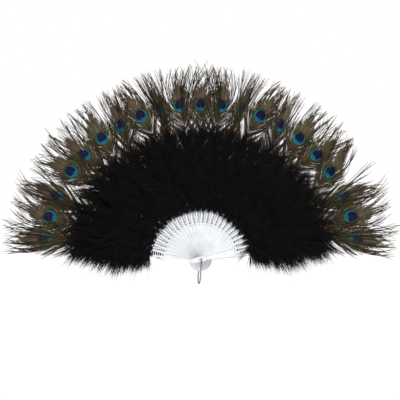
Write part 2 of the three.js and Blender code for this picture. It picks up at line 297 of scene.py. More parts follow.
# How far out each oval lies, its half width and half length, and its colours.
HALO = Spot(4.0, 62.0, 62.0, (
    (0.0, "#38331f", 0.7), (0.38, "#423827", 0.6), (0.62, "#5f4a31", 0.7), (0.88, "#705332", 0.8),
    (1.0, "#33281a", 0.9),
))
BRONZE = Spot(2.6, 21.0, 22.0, (
    (0.0, "#5a4733", 1.0), (0.5, "#66513a", 0.95), (0.7, "#5c4c35", 0.8), (0.75, "#887f4e", 0.8),
    (0.79, "#3a3d20", 0.8), (1.0, "#3d3924", 0.0),
))
TAUPE = Spot(22.0, 21.0, 25.0, (
    (0.0, "#6f6050", 0.85), (0.5, "#6a5b4a", 0.75), (0.8, "#574b3c", 0.35), (1.0, "#4a4033", 0.0),
))
DARK_RIM = Spot(-1.6, 13.0, 13.4, (
    (0.0, "#241b0d", 1.0), (0.84, "#241b0d", 0.9), (1.0, "#3c2d18", 0.0),
))
TEAL = Spot(-1.2, 10.8, 11.0, (
    (0.0, "#0e426e", 1.0), (0.62, "#116086", 1.0), (0.8, "#1c6e76", 1.0), (0.9, "#246653", 1.0),
    (0.97, "#344f33", 1.0), (1.0, "#344f33", 0.0),
))
PUPIL_LEFT = Spot(1.6, 4.9, 7.4, (
    (0.0, "#140c40", 1.0), (0.7, "#0e0932", 1.0), (0.95, "#050414", 1.0), (1.0, "#050414", 0.0),
), across=-2.1, turn=-16.0)
PUPIL_RIGHT = replace(PUPIL_LEFT, across=-PUPIL_LEFT.across, turn=-PUPIL_LEFT.turn)


@dataclass(frozen=True)
class PeacockHerl(Finish):
    """Peacock barbs: iridescent keratin, bronze-olive and satin. Close together they draw a blue eye."""

    name: str = "peacock_herl"
    dark: str = "#2a2013"
    middle: str = "#463c27"
    pale: str = "#705a3a"
    roughness: float = 0.42
    streak_size: float = 5.0
    sheen_size: float = 26.0
    map_span: float = 160.0
    map_foot: float = 96.0
    plain_side: float = 70.0
    spots: tuple[Spot, ...] = (HALO, BRONZE, TAUPE, DARK_RIM, TEAL, PUPIL_LEFT, PUPIL_RIGHT)

    def uv(self, across: np.ndarray | float, along: np.ndarray | float) -> np.ndarray:
        """U and V of points that lie so many millimetres right of the shaft and outwards from the eye."""
        return np.stack([0.5 + across / self.map_span, (along + self.map_foot) / self.map_span], axis=-1)

    def spot_layer(self, tree: NodeTree, place: NodeSocket, under: NodeSocket, spot: Spot) -> NodeSocket:
        """Paints one oval over the colours below it.

        The oval's radius is the length of the place scaled by its half sizes, so that 1 is its rim.

        Args:
            tree: The material's tree.
            place: The UV place.
            under: The colour below.
            spot: The oval.

        Returns:
            The colour with the oval on it.
        """
        u, v = self.uv(spot.across, spot.along)
        centred = add_node(tree, "Mapping", {"Vector": place, "Location": (-u, -v, 0.0)})
        scaled = add_node(tree, "Mapping", {
            "vector_type": "TEXTURE", "Vector": centred.outputs["Vector"],
            "Rotation": (0.0, 0.0, math.radians(spot.turn)),
            "Scale": (spot.half_width / self.map_span, spot.half_length / self.map_span, 1.0),
        })
        radius = add_node(tree, "VectorMath", {"operation": "LENGTH", 0: scaled.outputs["Vector"]})
        ramp = add_node(tree, "ValToRGB", {"Fac": radius.outputs["Value"]}, spot.stops)
        layer = add_node(tree, "Mix", {
            "data_type": "RGBA", MIX_SHARE: ramp.outputs["Alpha"],
            MIX_UNDER: under, MIX_OVER: ramp.outputs["Color"],
        })
        return layer.outputs[MIX_RESULT]

    def surface(self, tree: NodeTree) -> Node:
        """Streaked olive barbs, the eye's ovals where they lie close, and a hue that shifts in patches.

        Args:
            tree: The material's tree.

        Returns:
            The shader.
        """
        place = add_node(tree, "UVMap", {"uv_map": UV_NAME}).outputs["UV"]
        streak = add_node(tree, "TexNoise", {
            "Vector": place, "Scale": self.map_span / self.streak_size, "Detail": 4.0, "Roughness": 0.65,
        })
        tones = ((0.32, self.dark), (0.52, self.middle), (0.7, self.pale))
        colour = add_node(tree, "ValToRGB", {"Fac": streak.outputs["Fac"]}, tones).outputs["Color"]
        for spot in self.spots:
            colour = self.spot_layer(tree, place, colour, spot)
        patch = add_node(tree, "TexNoise", {
            "Vector": add_node(tree, "TexCoord").outputs["Object"],
            "Scale": pattern_scale(self.sheen_size), "Detail": 1.0,
        })
        shift = add_node(tree, "MapRange", {
            "Value": patch.outputs["Fac"],
            "From Min": 0.3, "From Max": 0.7, "To Min": 0.47, "To Max": 0.53,
        })
        shade = add_node(tree, "Attribute", {"attribute_name": SHADE_NAME})
        sheen = add_node(tree, "HueSaturation", {
            "Hue": shift.outputs["Result"], "Value": shade.outputs["Fac"], "Color": colour,
        })
        return add_node(tree, "BsdfPrincipled", {
            "Base Color": sheen.outputs["Color"], "Roughness": self.roughness,
            "Specular IOR Level": 0.1, "IOR": 1.56,
        })


@dataclass(frozen=True)
class FeatherShaft(Finish):
    """The bare quill: pale horn, smooth, a little darker in long streaks."""

    name: str = "feather_shaft_horn"
    pale: str = "#b9aa86"
    dark: str = "#857349"
    roughness: float = 0.4
    streak_size: float = 9.0

    def surface(self, tree: NodeTree) -> Node:
        """Horn that darkens in soft streaks along the shaft."""
        _, colour = clouds(tree, self.streak_size, detail=2.0, stops=((0.35, self.dark), (0.6, self.pale)))
        return add_node(tree, "BsdfPrincipled", {
            "Base Color": colour, "Roughness": self.roughness, "IOR": 1.55,
        })


@dataclass(frozen=True)
class BrassWire(Finish):
    """Drawn brass wire gone dull: olive gold, streaked by the drawing die, browner where it is handled."""

    name: str = "drawn_brass_wire"
    bright: str = "#93804f"
    tarnish: str = "#4c4128"
    roughness: float = 0.3
    dulling: float = 0.15
    tarnish_size: float = 5.0
    streak_size: float = 0.25
    streak_height: float = 0.02

    def surface(self, tree: NodeTree) -> Node:
        """Patches of tarnish set both the colour and the gloss, over fine streaks along the wire.

        Args:
            tree: The material's tree.

        Returns:
            The shader.
        """
        tones = ((0.4, self.tarnish), (0.62, self.bright))
        patch, colour = clouds(tree, self.tarnish_size, detail=4.0, stops=tones)
        gloss = add_node(tree, "MapRange", {
            "Value": patch, "From Min": 0.35, "From Max": 0.65,
            "To Min": self.roughness + self.dulling, "To Max": self.roughness,
        })
        place = add_node(tree, "TexCoord").outputs["Object"]
        drawn = add_node(tree, "Mapping", {"Vector": place, "Scale": (1.0, 1.0, 0.05)})
        streak = add_node(tree, "TexNoise", {
            "Vector": drawn.outputs["Vector"], "Scale": pattern_scale(self.streak_size), "Detail": 1.0,
        })
        bump = add_node(tree, "Bump", {
            "Height": streak.outputs["Fac"], "Strength": 0.2, "Distance": self.streak_height * METRES,
        })
        return add_node(tree, "BsdfPrincipled", {
            "Base Color": colour, "Roughness": gloss.outputs["Result"], "Normal": bump.outputs["Normal"],
            "Metallic": 1.0,
        })


@dataclass(frozen=True)
class WhiteEnamel(Finish):
    """Stoved white enamel on a pressed eyelet: smooth and glossy, faintly cloudy."""

    name: str = "white_enamel"
    pale: str = "#f0f0f2"
    dull: str = "#dcdce2"
    roughness: float = 0.24
    cloud_size: float = 2.5

    def surface(self, tree: NodeTree) -> Node:
        """A thin clear coat over a cloudy white."""
        _, colour = clouds(tree, self.cloud_size, detail=2.0, stops=((0.35, self.dull), (0.6, self.pale)))
        return add_node(tree, "BsdfPrincipled", {
            "Base Color": colour, "Roughness": self.roughness, "Coat Weight": 0.3, "Coat Roughness": 0.12,
        })


@dataclass(frozen=True)
class WovenTape(Finish):
    """Black cotton tape: matt, with a fine twill across it. A wave has twenty bands to its unit."""

    name: str = "woven_cotton_tape"
    thread: str = "#17171a"
    # Painted shade for the hollows of the weave.
    hollow: str = "#060607"
    roughness: float = 0.8
    thread_pitch: float = 0.5
    thread_height: float = 0.08
    wave_bands: float = 20.0

    def surface(self, tree: NodeTree) -> Node:
        """Slanting bands, one for each pair of threads, with painted shade in the hollows between them.

        Args:
            tree: The material's tree.

        Returns:
            The shader.
        """
        twill = add_node(tree, "TexWave", {
            "bands_direction": "DIAGONAL", "Vector": add_node(tree, "TexCoord").outputs["Object"],
            "Scale": pattern_scale(self.thread_pitch) / self.wave_bands, "Distortion": 0.6,
        }).outputs["Fac"]
        # The hollow colour is painted shade in the recesses of the weave.
        colour = add_node(tree, "ValToRGB", {"Fac": twill}, ((0.2, self.hollow), (0.7, self.thread)))
        bump = add_node(tree, "Bump", {
            "Height": twill, "Strength": 0.5, "Distance": self.thread_height * METRES,
        })
        return add_node(tree, "BsdfPrincipled", {
            "Base Color": colour.outputs["Color"], "Normal": bump.outputs["Normal"],
            "Roughness": self.roughness, "Specular IOR Level": 0.2,
        })


@dataclass(frozen=True)
class PaperFloor(Finish):
    """White paper under the fan: matt, it mostly shows as white and keeps the fan's shadow."""

    name: str = "white_paper_floor"
    paper: str = "#f7f7f7"
    glow: float = 1.23
    glow_share: float = 0.8

    def surface(self, tree: NodeTree) -> Node:
        """Paper that glows white to the camera by a fixed share.

        Args:
            tree: The material's tree.

        Returns:
            The shader.
        """
        paper = add_node(tree, "BsdfDiffuse", {"Color": linear(self.paper)})
        white = add_node(tree, "Emission", {"Color": linear(WHITE), "Strength": self.glow})
        share = add_node(tree, "Math", {"operation": "MULTIPLY", 0: seen(tree), 1: self.glow_share})
        return add_node(tree, "MixShader", {0: share.outputs[0], 1: paper.outputs[0], 2: white.outputs[0]})


def unit(vectors: np.ndarray) -> np.ndarray:
    """Vectors of the same heading and length 1."""
    return vectors / np.maximum(np.linalg.norm(vectors, axis=-1, keepdims=True), SHORTEST)


def between(pair: Pair, share: np.ndarray) -> np.ndarray:
    """Values that run evenly from the first of a pair (share 0) to the second (share 1)."""
    return pair[0] + (pair[1] - pair[0]) * share


def headings(side: np.ndarray | int, lean: np.ndarray, tilt: np.ndarray) -> np.ndarray:
    """Headings off a rib, (side sin lean cos tilt, sin tilt, cos lean cos tilt), from angles in radians."""
    return np.stack([side * np.sin(lean) * np.cos(tilt), np.sin(tilt), np.cos(lean) * np.cos(tilt)], axis=1)


def arc(centre: Pair, sizes: Pair, turns: np.ndarray) -> np.ndarray:
    """Points of an ellipse, centre + sizes * (cos turn, sin turn), for angles in radians."""
    return np.array(centre) + np.stack([np.cos(turns), np.sin(turns)], axis=1) * sizes


def circle(sides: int) -> np.ndarray:
    """Corners of a round profile of radius 1, counter-clockwise."""
    return arc((0.0, 0.0), (1.0, 1.0), np.linspace(0.0, 2.0 * np.pi, sides, endpoint=False))


def bent_paths(
    roots: np.ndarray, starts: np.ndarray, ends: np.ndarray, lengths: np.ndarray, stations: int
) -> np.ndarray:
    """Paths that turn evenly from one heading to another.

    A point at share t of a path is root + length * (start * t + (end - start) * t * t / 2).

    Args:
        roots: First point of each path.
        starts: Heading at the root.
        ends: Heading at the tip.
        lengths: Length of each path.
        stations: How many points each path gets.

    Returns:
        Points by path and station.
    """
    share = np.linspace(0.0, 1.0, stations)[None, :, None]
    run = starts[:, None] * share + (ends - starts)[:, None] * share**2 / 2.0
    return roots[:, None] + lengths[:, None, None] * run


def carry_profile(
    paths: np.ndarray,
    profile: np.ndarray,
    half_widths: np.ndarray,
    half_depths: np.ndarray,
    facing: np.ndarray,
) -> tuple[np.ndarray, np.ndarray]:
    """Carries a flat profile along each path and closes both ends.

    At a station the profile's first axis lies along heading x facing and its second along that x
    heading, so a corner is at path + across * width * profile[0] + above * depth * profile[1].

    Args:
        paths: Points by path and station.
        profile: Corners of the profile, counter-clockwise.
        half_widths: Size along the first axis, by path and station.
        half_depths: Size along the second axis, by path and station.
        facing: The way that each path's second axis leans to.

    Returns:
        Vertices and triangles.
    """
    count, stations = paths.shape[:2]
    corners = len(profile)
    heading = unit(np.gradient(paths, axis=1))
    across = unit(np.cross(heading, np.broadcast_to(facing[:, None], paths.shape)))
    above = np.cross(across, heading)
    wide = (half_widths[:, :, None] * profile[:, 0])[..., None]
    deep = (half_depths[:, :, None] * profile[:, 1])[..., None]
    vertices = paths[:, :, None] + across[:, :, None] * wide + above[:, :, None] * deep
    ring = np.arange(stations - 1)[:, None] * corners
    first = (ring + np.arange(corners)).ravel()
    second = (ring + np.roll(np.arange(corners), -1)).ravel()
    lower = np.stack([second, first, first + corners], axis=1)
    upper = np.stack([second, first + corners, second + corners], axis=1)
    fan = np.arange(1, corners - 1)
    foot = np.stack([np.zeros_like(fan), fan, fan + 1], axis=1)
    tip = foot[:, ::-1] + (stations - 1) * corners
    single = np.concatenate([lower, upper, foot, tip])
    offsets = np.arange(count)[:, None, None] * stations * corners
    return vertices.reshape(-1, 3), (single[None] + offsets).reshape(-1, 3)


def turned(profile: np.ndarray, sides: int) -> tuple[np.ndarray, np.ndarray]:
    """Turns a closed profile round the Y axis.

    The point at angle a and profile corner (r, y) is (r sin a, y, r cos a).

    Args:
        profile: Radius and Y of each corner, a closed ring that runs counter-clockwise in r and y.
        sides: Steps round the axis.

    Returns:
        Vertices and triangles.
    """
    angle = np.linspace(0.0, 2.0 * np.pi, sides, endpoint=False)[:, None]
    radius, depth = profile[:, 0], np.broadcast_to(profile[:, 1], (sides, len(profile)))
    vertices = np.stack([radius * np.sin(angle), depth, radius * np.cos(angle)], axis=-1)
    step = np.arange(sides)[:, None] * len(profile)
    after = np.roll(np.arange(sides), -1)[:, None] * len(profile)
    here = np.arange(len(profile))
    there = np.roll(here, -1)
    a, b = (step + here).ravel(), (step + there).ravel()
    c, d = (after + there).ravel(), (after + here).ravel()
    faces = np.concatenate([np.stack([a, b, c], axis=1), np.stack([a, c, d], axis=1)])
    return vertices.reshape(-1, 3), faces


def add_piece(
    name: str,
    vertices: np.ndarray,
    faces: np.ndarray,
    materials: list[Material],
    uvs: np.ndarray | None = None,
    material_numbers: np.ndarray | None = None,
    shades: np.ndarray | None = None,
) -> Object:
    """Puts a surface into a mesh object at the origin.

    Args:
        name: The piece's name.
        vertices: Points in millimetres.
        faces: Triangles as rows of point numbers.
        materials: The piece's materials.
        uvs: U and V of each point.
        material_numbers: Which material each triangle has.
        shades: How bright each point is.

    Returns:
        The new object.
    """
    mesh = bpy.data.meshes.new(name)
    mesh.vertices.add(len(vertices))
    mesh.vertices.foreach_set("co", (vertices * METRES).astype(np.float32).ravel())
    mesh.loops.add(faces.size)
    mesh.loops.foreach_set("vertex_index", faces.astype(np.int32).ravel())
    mesh.polygons.add(len(faces))
    mesh.polygons.foreach_set("loop_start", np.arange(0, faces.size, 3, dtype=np.int32))
    if uvs is not None:
        layer = mesh.uv_layers.new(name=UV_NAME)
        layer.data.foreach_set("uv", uvs[faces.ravel()].astype(np.float32).ravel())
    if shades is not None:
        layer = mesh.attributes.new(SHADE_NAME, "FLOAT", "POINT")
        layer.data.foreach_set("value", shades.astype(np.float32))
    for material in materials:
        mesh.materials.append(material)
    if material_numbers is not None:
        mesh.polygons.foreach_set("material_index", material_numbers.astype(np.int32))
    mesh.polygons.foreach_set("use_smooth", np.ones(len(faces), dtype=bool))
    mesh.update(calc_edges=True)
    piece = bpy.data.objects.new(name, mesh)
    bpy.context.scene.collection.objects.link(piece)
    return piece


@dataclass(frozen=True)
class Spread:
    """How the open fan's sticks stand, counted from the front guard at the right to the rear guard.

    Layer is the pitch of the sticks in depth, and cover how far outside a guard its plume would lie.
    """

    stick_count: int = 25
    open_right: float = 79.0
    open_left: float = 81.0
    layer: float = 1.05
    cover: float = 1.2

    @property
    def middle(self) -> int:
        """The upright stick's number."""
        return (self.stick_count - 1) // 2

    @property
    def last(self) -> int:
        """The rear guard's number."""
        return self.stick_count - 1

    def angle(self, index: float) -> float:
        """Degrees from upright to a stick, positive to the right."""
        share = 1.0 - index / self.middle
        return share * (self.open_left if share < 0 else self.open_right)

    def depth(self, index: float) -> float:
        """The Y of a stick's layer."""
        return (index - self.middle) * self.layer

    def basis(self, index: int) -> np.ndarray:
        """Rows that carry (across, depth, along) on a stick to the fan's frame."""
        turn = math.radians(self.angle(index))
        return np.array([
            (math.cos(turn), 0.0, -math.sin(turn)), (0.0, 1.0, 0.0), (math.sin(turn), 0.0, math.cos(turn)),
        ])

    def place(self, index: int, local: np.ndarray) -> np.ndarray:
        """Carries points (across, depth from its layer, along) on a stick to the fan's frame."""
        return local @ self.basis(index) + (0.0, self.depth(index), 0.0)

    def body(self, index: int) -> str:
        """The body that a stick belongs to."""
        ends = {0: "front_guard_blade", self.middle: "pivot", self.last: "rear_guard_blade"}
        return ends.get(index, f"blade_{index + 1:02d}")

    def joint(self, index: int) -> str:
        """The joint that folds a stick, or for the upright one the joint that folds the fan."""
        ends = {0: "front_guard_fold", self.middle: "front_guard_fold", self.last: "rear_guard_fold"}
        return ends.get(index, f"blade_{index + 1:02d}_fold")

    def stick_node(self, index: int) -> str:
        """The frame's name for a stick."""
        return {0: "front_guard", self.last: "rear_guard"}.get(index, f"stick_{index + 1:02d}")

    def plume_node(self, index: int) -> str:
        """The frame's name for a stick's plume."""
        return f"plume_{index + 1:02d}"

    def flatten(self, piece: Object, index: int, keep: float) -> None:
        """Sets a soft piece on its stick's body, so that it rides on the stick, and gives it its own mesh.

        Args:
            piece: The plume's piece.
            index: The stick's number.
            keep: Not used.
        """
        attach(piece, self.body(index))
        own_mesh(piece)


@dataclass
class Sticks:
    """The pierced sticks and guards of the frame, which keep their solids."""

    spread: Spread
    finish: MouldedPlastic
    edge_shade_finish: MouldedPlastic
    edge_radius: float = 0.38
    edge_steps: int = 2
    edge_angle: float = 40.0

    def dress(self, nodes: dict[str, Object]) -> list[str]:
        """Gives every stick the moulded plastic and eases its edges, painted greyer as shade.

        Args:
            nodes: The frame's objects by name.

        Returns:
            The sticks' names.
        """
        materials = [self.finish.material(), self.edge_shade_finish.material()]
        names = [self.spread.stick_node(index) for index in range(self.spread.stick_count)]
        for stick in [nodes[name] for name in names]:
            stick.data.materials.clear()
            for material in materials:
                stick.data.materials.append(material)
            weld = stick.modifiers.new("joined_faces", "WELD")
            weld.merge_threshold = WELD_GAP
            ease = stick.modifiers.new("eased_edges", "BEVEL")
            # Bevel faces get the greyer plastic: painted shade along the edges.
            ease.material = 1
            ease.width = self.edge_radius * METRES
            ease.segments = self.edge_steps
            ease.limit_method = "ANGLE"
            ease.angle_limit = math.radians(self.edge_angle)
            ease.use_clamp_overlap = False
        return names


@dataclass(frozen=True)
class TuftGroup:
    """Tufts of one kind along a rib, in degrees and mm.

    Shares and leans run from the first tuft to the last, along the rib from its inner end (0) to its
    outer end (1) and away from it. Barbs turn back towards the rib. Tilts is the range out of the fan's
    layer, to the front below 0, and lengths are those at the inner end, the fullest place and the outer
    end. Tints is the range of the dye's tones. A side is given where all the tufts lie on one.
    """

    tufts: int
    barbs: int
    shares: Pair
    leans: Pair
    turn_back: float
    tilts: Pair
    lengths: Triple
    half_width: float = 0.34
    tints: Pair = (0.0, 0.88)
    side: Side | None = None


# Tufts, barbs in each, shares, leans, turn back, tilts, lengths, half width and tints.
SIDE_TUFTS = TuftGroup(46, 24, (0.0, 1.0), (86.0, 28.0), 30.0, (-40.0, 40.0), (31.0, 45.0, 34.0))
FRONT_TUFTS = TuftGroup(14, 24, (0.0, 1.0), (34.0, 10.0), 12.0, (-44.0, -22.0), (26.0, 40.0, 33.0))
BACK_TUFTS = replace(FRONT_TUFTS, tilts=(22.0, 44.0))
RIB_FRONT = TuftGroup(24, 8, (-0.02, 1.0), (12.0, 8.0), 4.0, (-14.0, -6.0), (15.0, 16.0, 16.0), 0.8)
RIB_BACK = replace(RIB_FRONT, tilts=(6.0, 14.0))
NAPE_TUFTS = TuftGroup(8, 20, (0.0, 0.06), (164.0, 150.0), -10.0, (10.0, 24.0), (29.0, 29.0, 29.0), 0.42)
WISP_TUFTS = TuftGroup(5, 6, (0.8, 1.0), (26.0, 4.0), 2.0, (-18.0, 18.0), (42.0, 42.0, 42.0), 0.26)
GUARD_TUFTS = TuftGroup(84, 24, (0.0, 1.0), (94.0, 62.0), 12.0, (-26.0, 26.0), (31.0, 42.0, 32.0), 0.4)
STRAY_TUFTS = TuftGroup(
    4, 3, (-0.18, -0.09), (112.0, 94.0), -44.0, (-10.0, -4.0), (27.0, 27.0, 27.0), 0.22, (0.96, 1.0)
)
COLLAR_TUFTS = TuftGroup(6, 12, (-0.03, 0.03), (112.0, 56.0), 6.0, (-34.0, -12.0), (10.0, 12.0, 12.0), 0.42)
INNER_TUFTS = TuftGroup(
    4, 10, (-0.02, 0.04), (152.0, 132.0), -10.0, (-20.0, -8.0), (10.0, 10.0, 10.0), 0.34
)
HANGING_TUFTS = TuftGroup(
    7, 12, (-0.03, 0.04), (152.0, 128.0), -10.0, (-20.0, -8.0), (12.0, 12.0, 12.0), 0.36
)
ALL_ROUND = (
    SIDE_TUFTS, FRONT_TUFTS, BACK_TUFTS, RIB_FRONT, RIB_BACK, NAPE_TUFTS, COLLAR_TUFTS, WISP_TUFTS
)


@dataclass
class Marabou:
    """Down bound along one stick's rib: tufts of long soft barbs that leave it on both faces and sides.

    Roots lie along the rib, and barbs are longest at its fullest share and, by side_reach, on the fan's
    outer sticks. Scatters are the spread of angles and places from tuft to tuft and from barb to barb.
    Few barbs are long: a random share to the power of long_rarity, times long_share, adds to their size.
    Tilt_left is the share of its tilt that a barb ends with, and tone_run the range of its V.
    """

    spread: Spread
    index: int
    groups: tuple[TuftGroup, ...] = ALL_ROUND
    hanging_count: int = 8
    inner_count: int = 18
    seed: int = 1000
    stations: int = 4
    rib: Pair = (81.0, 187.0)
    fullest: float = 0.45
    side_reach: float = 0.2
    tuft_scatter: float = 9.0
    tuft_sizes: Pair = (0.84, 1.14)
    barb_scatter: float = 6.0
    barb_sizes: Pair = (0.6, 1.08)
    long_share: float = 0.3
    long_rarity: int = 12
    tilt_scatter: float = 0.2
    tilt_limit: float = 50.0
    tilt_left: float = 0.2
    root_scatter: float = 1.6
    root_room: Pair = (-0.6, 1.6)
    root_depth: float = 0.8
    droop: float = 0.12
    taper: Steps = ((0.0, 0.3, 0.75, 1.0), (0.7, 1.0, 0.6, 0.06))
    widths: Pair = (0.7, 1.2)
    flatness: float = 0.6
    roll: float = 0.5
    tone_run: Pair = (0.02, 0.98)
    keep: float = 0.04

    def all_groups(self) -> list[TuftGroup]:
        """The plume's groups of tufts: more outside a guard, strays at the front one, an overhang near it.

        Returns:
            The groups.
        """
        overhang = (INNER_TUFTS,) if self.index < self.inner_count else ()
        if self.index < self.hanging_count:
            overhang = (HANGING_TUFTS,)
        outside = {0: (GUARD_TUFTS, STRAY_TUFTS), self.spread.last: (GUARD_TUFTS,)}.get(self.index, ())
        side = Side.RIGHT if self.index == 0 else Side.LEFT
        return [*self.groups, *overhang, *(replace(group, side=side) for group in outside)]

    def group_paths(self, group: TuftGroup, rng: np.random.Generator) -> np.ndarray:
        """Paths of one group's barbs in the fan's frame.

        Each tuft has a root along the rib, a lean away from it and a tilt to the front or back, and each
        of its barbs differs a little. Barbs turn towards the rib's end and hang a little at their tips.

        Args:
            group: The tufts.
            rng: The source of variation.

        Returns:
            Points by barb and station.
        """
        tufts, count = group.tufts, group.tufts * group.barbs
        even = (np.arange(tufts) + rng.uniform(0.0, 1.0, tufts)) / tufts
        alternate = np.where(np.arange(tufts) % 2 == 0, 1.0, -1.0)
        by_tuft = (
            between(group.shares, even),
            alternate if group.side is None else np.full(tufts, group.side.value),
            rng.normal(0.0, self.tuft_scatter, tufts),
            rng.uniform(*group.tilts, tufts),
            rng.uniform(*self.tuft_sizes, tufts),
        )
        share, side, tuft_lean, tuft_tilt, tuft_size = (np.repeat(each, group.barbs) for each in by_tuft)
        lean = between(group.leans, share) + tuft_lean
        lean = np.radians(lean + rng.normal(0.0, self.barb_scatter, count))
        back = lean - np.radians(group.turn_back + rng.normal(0.0, self.barb_scatter, count))
        tilt = tuft_tilt + rng.normal(0.0, self.tilt_scatter * np.ptp(group.tilts) / 2.0, count)
        tilt = np.radians(np.clip(tilt, -self.tilt_limit, self.tilt_limit))
        spare = rng.uniform(*self.barb_sizes, count)
        spare += self.long_share * rng.uniform(0.0, 1.0, count) ** self.long_rarity
        sideways = 1.0 + self.side_reach * math.radians(abs(self.spread.angle(self.index))) * share
        length = np.interp(share, (0.0, self.fullest, 1.0), group.lengths) * tuft_size * spare * sideways
        along = between(self.rib, share) + rng.normal(0.0, self.root_scatter, count)
        out = side * rng.uniform(*self.root_room, count)
        roots = np.stack([out, np.sign(tilt) * self.root_depth, along], axis=1)
        basis = self.spread.basis(self.index)
        starts = headings(side, lean, tilt) @ basis
        heavy = unit(headings(side, back, tilt * self.tilt_left) @ basis + (0.0, 0.0, -self.droop))
        return bent_paths(self.spread.place(self.index, roots), starts, heavy, length, self.stations)

    def build(self, material: Material, slot: str) -> Object:
        """Builds the stick's down and sets it on its body.

        Args:
            material: The dyed down.
            slot: Not used.

        Returns:
            The piece.
        """
        rng = np.random.default_rng(self.seed + self.index)
        groups = self.all_groups()
        paths = np.concatenate([self.group_paths(group, rng) for group in groups])
        counts = [group.tufts * group.barbs for group in groups]
        half = np.repeat([group.half_width for group in groups], counts)
        tint = np.concatenate([rng.uniform(*group.tints, count) for group, count in zip(groups, counts)])
        taper = np.interp(np.linspace(0.0, 1.0, self.stations), *self.taper)
        width = (half * rng.uniform(*self.widths, len(half)))[:, None] * taper
        facing = unit(rng.normal(0.0, self.roll, (len(half), 3)) + FORWARDS)
        vertices, faces = carry_profile(paths, TRIANGLE, width, width * self.flatness, facing)
        run = np.linspace(*self.tone_run, self.stations)[:, None]
        uvs = np.stack(np.broadcast_arrays(tint[:, None, None], run, np.zeros(len(TRIANGLE)))[:2], axis=-1)
        piece = add_piece(f"marabou_{self.index + 1:02d}", vertices, faces, [material], uvs.reshape(-1, 2))
        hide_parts(self.spread.plume_node(self.index))
        self.spread.flatten(piece, self.index, self.keep)
        return piece


@dataclass(frozen=True)
class BarbSet:
    """Barbs of one kind on each side of a shaft, in mm from the eye's centre and degrees from the shaft.

    Roots, leans and close, the length that holds together, run from the barb nearest to the stick to the
    one nearest to the tip. Loose is the range of the free ends, below 0 for shorter barbs, shades that of
    the brightness, and lift the mean and the spread of how far tips go back. Locks share out the roots,
    bunched to a part of their room, gather draws the tips of a lock together, and a crowding below 1
    crowds roots towards the tip. Reach, where given, is the range of the tips beyond the eye's centre and
    stands in for loose. Plain barbs carry none of the eye's colours.
    """

    count: int
    roots: Pair
    leans: Pair
    end_leans: Pair
    close: Pair
    half_width: float
    shades: Pair
    lift: Pair
    locks: int
    bunch: float
    gather: float
    scatter: float
    curl: float
    crowding: float = 1.0
    loose: Pair = (0.0, 0.0)
    reach: Pair | None = None
    plain: bool = False


EYE_BARBS = BarbSet(
    count=136, roots=(-35.0, 13.0), leans=(54.0, 5.0), end_leans=(27.0, 0.0), close=(38.0, 10.0),
    loose=(0.0, 16.0), half_width=0.38, shades=(0.62, 1.38), lift=(-0.3, 0.8), locks=7, bunch=1.0,
    gather=0.25, scatter=2.8, curl=1.2, crowding=0.62,
)
FRINGE_BARBS = BarbSet(
    count=22, roots=(-30.0, 14.0), leans=(46.0, -2.0), end_leans=(-12.0, -2.0), close=(40.0, 12.0),
    reach=(19.0, 61.0), half_width=0.45, shades=(0.6, 1.6), lift=(-0.5, 1.6), locks=8, bunch=0.8,
    gather=0.6, scatter=5.0, curl=1.0,
)
LOCK_BARBS = BarbSet(
    count=11, roots=(-26.0, 10.0), leans=(44.0, 8.0), end_leans=(-10.0, -2.0), close=(36.0, 11.0),
    reach=(46.0, 62.0), half_width=0.52, shades=(0.3, 0.75), lift=(-0.8, 1.2), locks=2, bunch=0.4,
    gather=0.9, scatter=7.0, curl=1.0,
)
VEIL_BARBS = BarbSet(
    count=20, roots=(-38.0, -4.0), leans=(26.0, 10.0), end_leans=(3.0, -2.0), close=(40.0, 30.0),
    reach=(26.0, 50.0), half_width=0.36, shades=(0.4, 1.5), lift=(-2.4, 0.4), locks=4, bunch=0.8,
    gather=0.3, scatter=3.0, curl=0.4, plain=True,
)
BRUSH_BARBS = BarbSet(
    count=13, roots=(-34.0, 6.0), leans=(40.0, 10.0), end_leans=(-2.0, 0.0), close=(40.0, 14.0),
    reach=(48.0, 60.0), half_width=0.5, shades=(0.3, 1.0), lift=(-1.6, 1.0), locks=4, bunch=0.7,
    gather=0.5, scatter=3.0, curl=0.3,
)
HERL_BARBS = BarbSet(
    count=25, roots=(-70.0, -30.0), leans=(38.0, 42.0), end_leans=(26.0, 24.0), close=(40.0, 36.0),
    loose=(-8.0, 18.0), half_width=0.5, shades=(0.22, 0.78), lift=(1.6, 1.2), locks=3, bunch=0.5,
    gather=0.25, scatter=6.0, curl=0.8, crowding=1.4,
)


class Veil(Enum):
    """Which sides of a left-hand eye lie under barbs."""

    NONE = ()
    INNER = (Side.RIGHT,)
    BOTH = (Side.RIGHT, Side.LEFT)


@dataclass(frozen=True)
class Stand:
    """How an eye feather stands: its eye's degrees from upright, its turn about its shaft and its veil.

    A brushed feather has more long barbs, which end in a tall dark brush.
    """

    angle: float
    turn: float = 0.0
    veil: Veil = Veil.NONE
    brushed: bool = False

    @property
    def sideways(self) -> float:
        """0 for an upright feather and 1 for one that lies level."""
        return abs(math.sin(math.radians(self.angle)))


